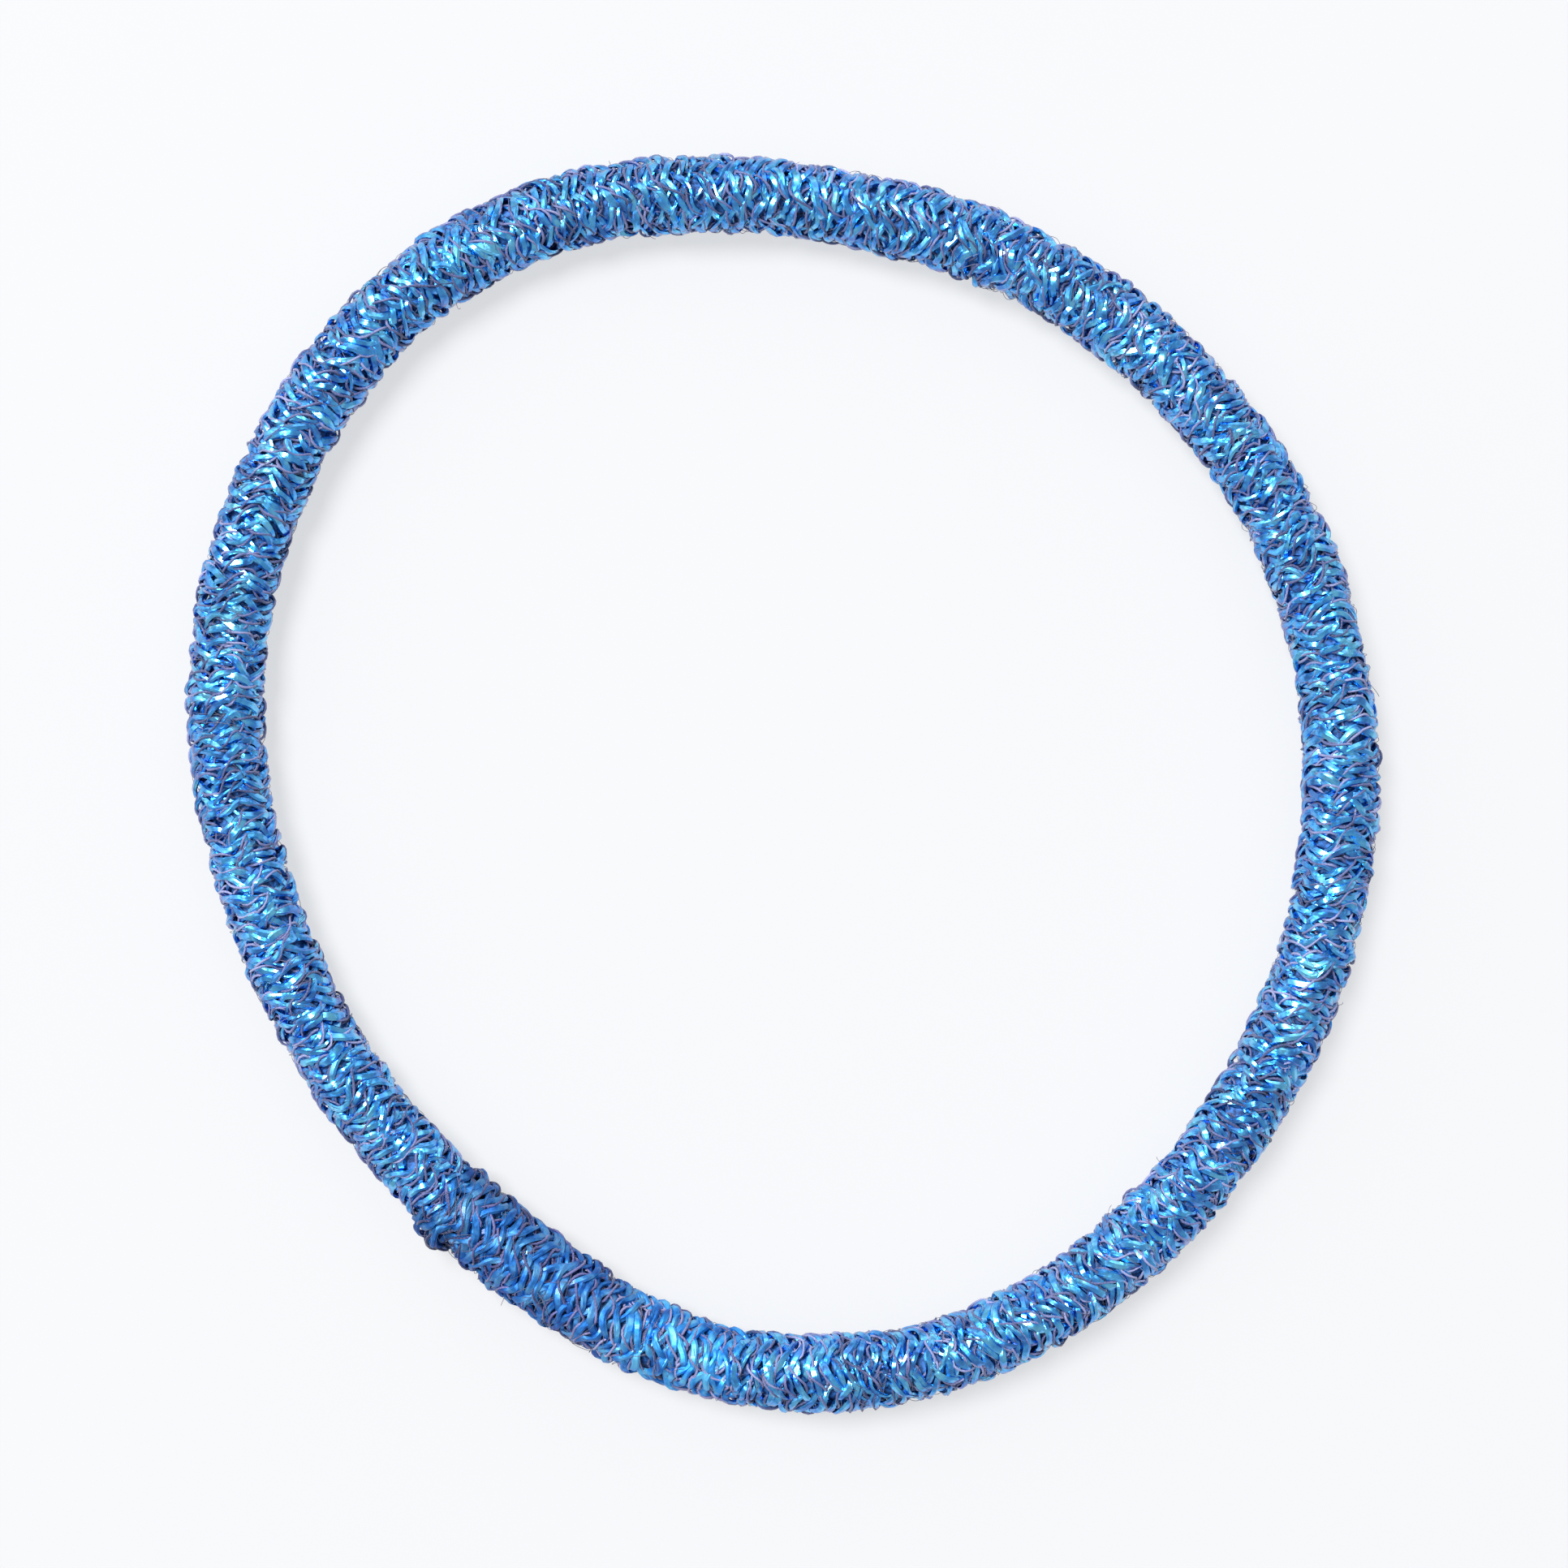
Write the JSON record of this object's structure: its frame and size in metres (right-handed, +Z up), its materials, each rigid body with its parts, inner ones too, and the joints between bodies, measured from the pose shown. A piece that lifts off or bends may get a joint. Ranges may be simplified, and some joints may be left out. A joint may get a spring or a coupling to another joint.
{
  "type": "braided elastic hair tie",
  "caption": "Closed loop of round elastic cord in a braided metallic cover, lying flat, with a lipped sleeve over its join; it goes round gathered hair.",
  "frame": {"origin": "on the resting surface, under the middle of the loop's outline", "axes": "+Z up out of the loop's plane, +Y along its longer outline, +X along its shorter one, as it lies in the picture seen from above"},
  "size_m": [0.0546, 0.0576, 0.0038],
  "materials": {
    "core_rubber": "matt rubber, hidden inside the cover",
    "cover_yarn": "bright blue metallic film yarn with a lavender-grey support thread, braided into short glittering floats"
  },
  "bodies": {
    "root": {"elastic_core": "core_rubber", "braided_cover": "cover_yarn", "join_sleeve": "cover_yarn"}
  },
  "joints": []
}
